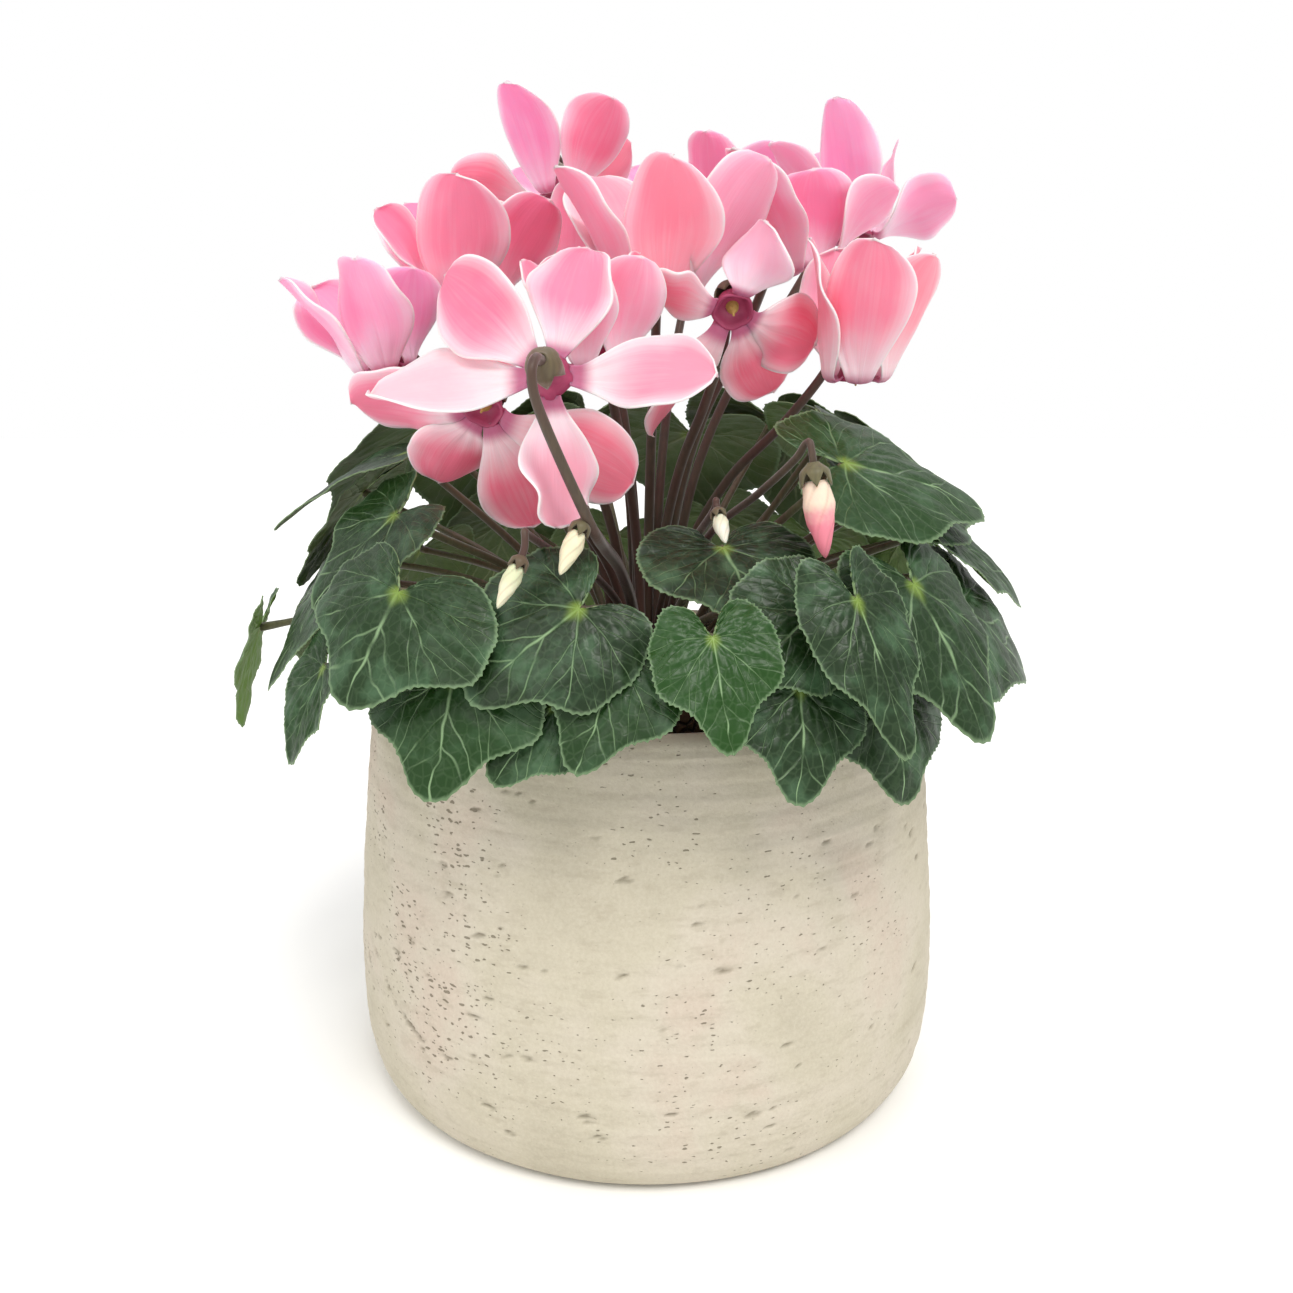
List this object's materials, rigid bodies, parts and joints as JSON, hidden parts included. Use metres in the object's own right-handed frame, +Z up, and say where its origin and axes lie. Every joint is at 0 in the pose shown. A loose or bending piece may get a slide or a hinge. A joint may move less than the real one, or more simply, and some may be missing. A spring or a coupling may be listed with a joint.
{
  "type": "potted cyclamen",
  "caption": "Cyclamen in flower: nodding pink blooms with swept-back petals over a mound of toothed heart-shaped leaves, in a round-bellied cement cover pot.",
  "frame": {"origin": "on the pot's axis, in the plane that the pot's base stands on", "axes": "+Z up the pot's axis; -Y is the front, where the bloom seen from behind is; +X is to the right seen from the front"},
  "size_m": [0.2631, 0.252, 0.3262],
  "materials": {
    "cement": "washed cast cement, pitted and unglazed",
    "nursery_plastic": "thin moulded black plastic",
    "potting_soil": "loose peat soil",
    "stalk": "brown tuber and reddish-brown stalks",
    "leaf": "satin green leaf with pale veins",
    "petal": "velvety pink petal, magenta at its base",
    "bud": "cream and pink closed petals"
  },
  "bodies": {
    "root": {"cover_pot": "cement", "nursery_pot": "nursery_plastic", "soil": "potting_soil", "tuber_and_flower_stalks": "stalk", "leaf_01": "leaf", "leaf_02": "leaf", "leaf_03": "leaf", "leaf_04": "leaf", "leaf_05": "leaf", "leaf_06": "leaf", "leaf_07": "leaf", "leaf_08": "leaf", "leaf_09": "leaf", "leaf_10": "leaf", "leaf_11": "leaf", "leaf_12": "leaf", "leaf_13": "leaf", "leaf_14": "leaf", "leaf_15": "leaf", "leaf_16": "leaf", "leaf_17": "leaf", "leaf_18": "leaf", "leaf_19": "leaf", "leaf_20": "leaf", "leaf_21": "leaf", "leaf_22": "leaf", "leaf_23": "leaf", "leaf_24": "leaf", "leaf_25": "leaf", "leaf_26": "leaf", "leaf_27": "leaf", "leaf_28": "leaf", "leaf_29": "leaf", "leaf_30": "leaf", "leaf_31": "leaf", "leaf_32": "leaf", "leaf_33": "leaf", "leaf_34": "leaf", "leaf_35": "leaf", "leaf_36": "leaf", "leaf_37": "leaf", "leaf_38": "leaf", "bloom_01": "petal", "bloom_02": "petal", "bloom_03": "petal", "bloom_04": "petal", "bloom_05": "petal", "bloom_06": "petal", "bloom_07": "petal", "bloom_08": "petal", "bloom_09": "petal", "bloom_10": "petal", "bloom_11": "petal", "bloom_12": "petal", "bloom_13": "petal", "bud_1": "bud", "bud_2": "bud", "bud_3": "bud", "bud_4": "bud"}
  },
  "joints": []
}
